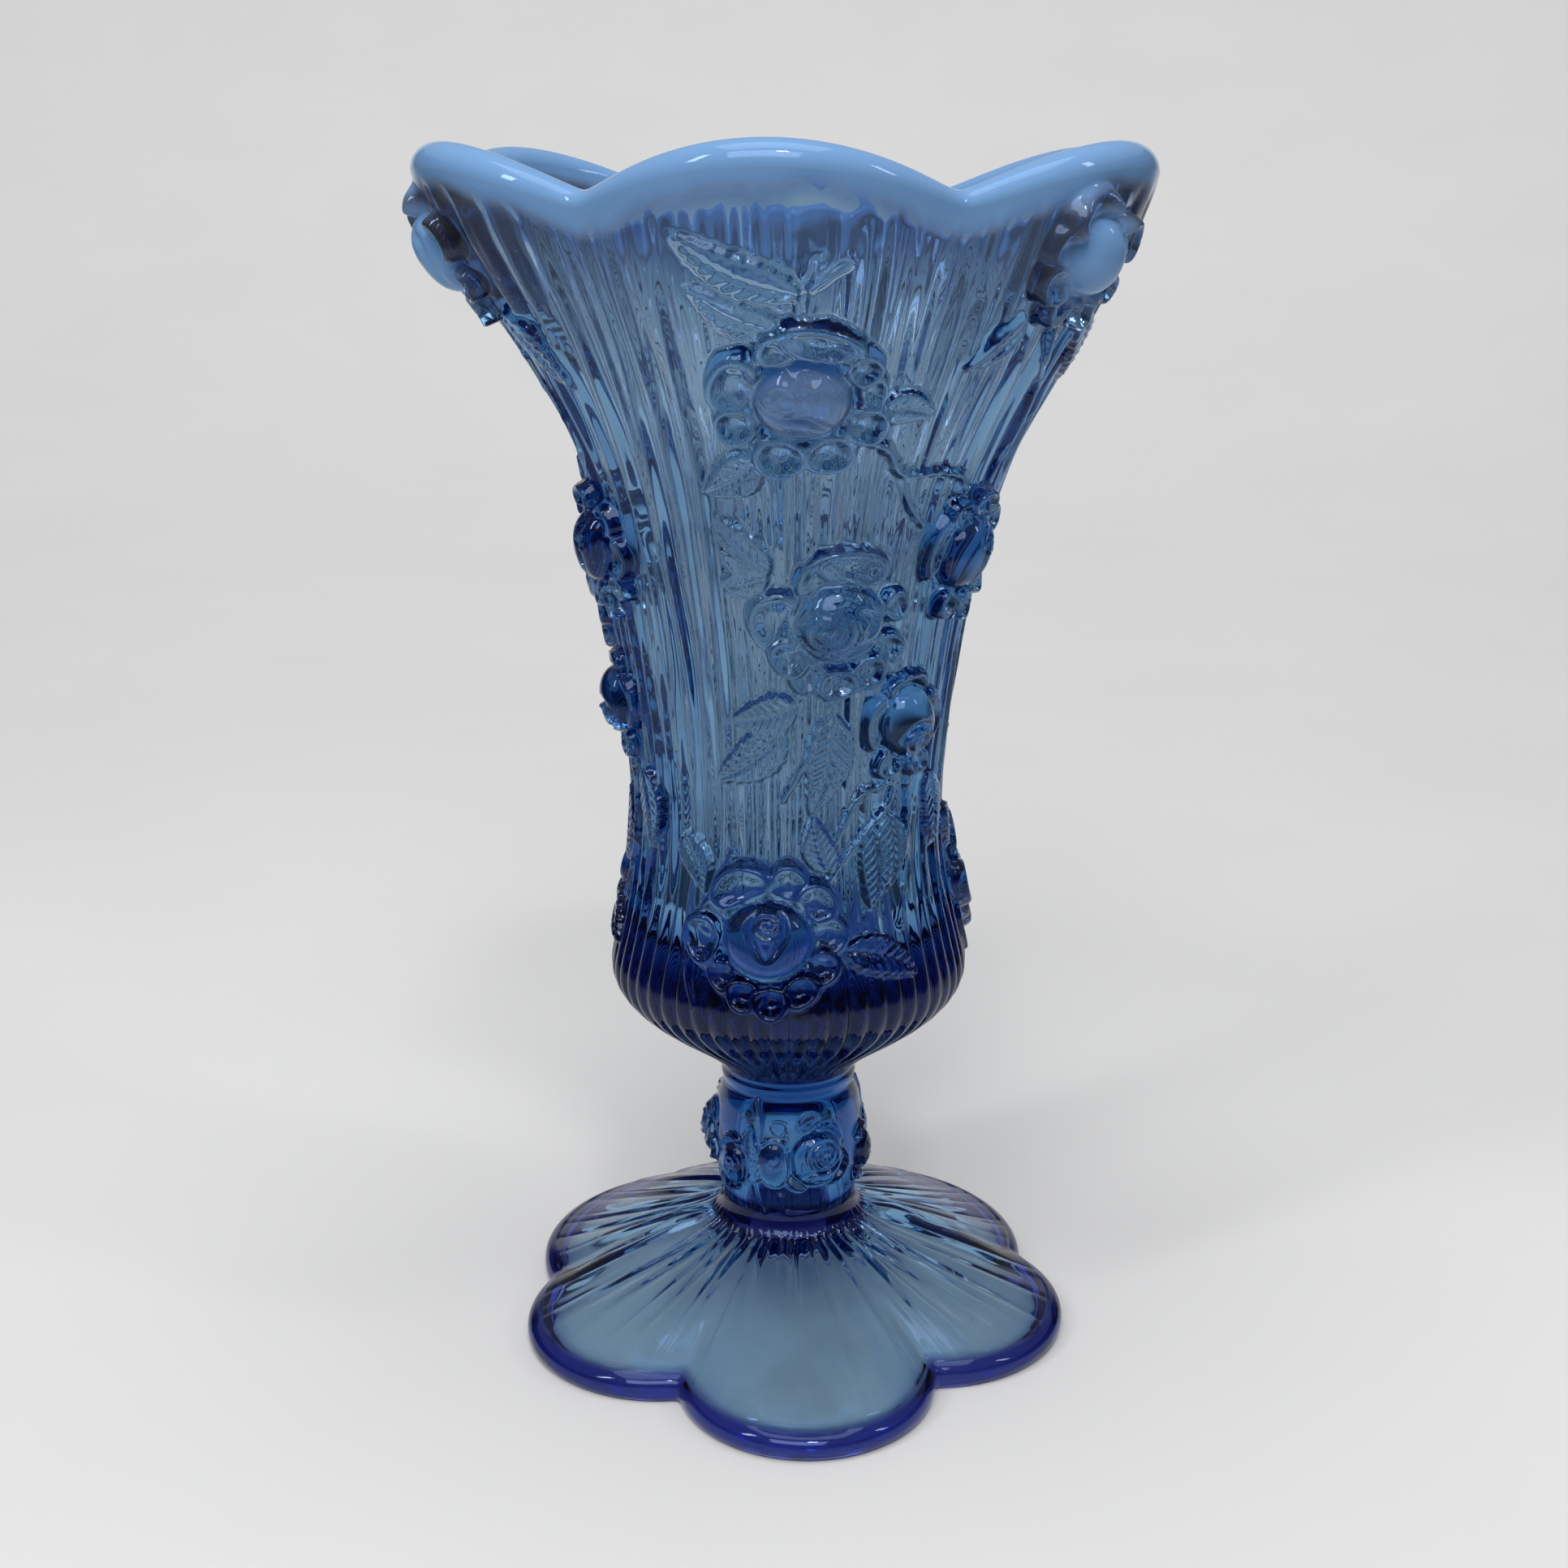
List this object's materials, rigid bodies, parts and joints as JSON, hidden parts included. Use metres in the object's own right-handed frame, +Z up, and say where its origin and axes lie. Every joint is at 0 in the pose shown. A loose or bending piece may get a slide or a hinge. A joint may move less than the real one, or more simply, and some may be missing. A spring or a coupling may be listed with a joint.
{
  "type": "vase",
  "caption": "Pressed-glass pedestal vase: ribbed, flared bowl with roses and leaves in relief, scalloped opal lip, short hollow knop and dished petal foot; holds cut flowers.",
  "frame": {"origin": "on the vase's axis, in the plane the foot stands on", "axes": "+Z up along the axis towards the mouth, -Y towards the front: one petal of the foot and one lobe of the lip face it"},
  "size_m": [0.1304, 0.138, 0.23],
  "materials": {
    "blue_glass": "fire-polished, clear blue",
    "opal_glass": "fire-polished, milky blue"
  },
  "bodies": {
    "root": {"foot": "blue_glass", "knop": "blue_glass", "collar": "blue_glass", "bowl": "blue_glass", "opal_lip": "opal_glass", "rose_rim_1": "opal_glass", "rose_rim_2": "opal_glass", "rose_rim_3": "opal_glass", "rose_upper_1": "blue_glass", "rose_upper_2": "blue_glass", "rose_upper_3": "blue_glass", "rose_side_1": "blue_glass", "rose_side_2": "blue_glass", "rose_side_3": "blue_glass", "rose_middle_1": "blue_glass", "rose_middle_2": "blue_glass", "rose_middle_3": "blue_glass", "rose_bud_1": "blue_glass", "rose_bud_2": "blue_glass", "rose_bud_3": "blue_glass", "rose_base_1": "blue_glass", "rose_base_2": "blue_glass", "rose_base_3": "blue_glass", "leaves_upper_1": "blue_glass", "leaves_upper_2": "blue_glass", "leaves_upper_3": "blue_glass", "leaves_middle_1": "blue_glass", "leaves_middle_2": "blue_glass", "leaves_middle_3": "blue_glass", "leaves_lower_1": "blue_glass", "leaves_lower_2": "blue_glass", "leaves_lower_3": "blue_glass", "vine_1": "blue_glass", "vine_2": "blue_glass", "vine_3": "blue_glass", "knop_rose_1": "blue_glass", "knop_rose_2": "blue_glass", "knop_rose_3": "blue_glass"}
  },
  "joints": []
}
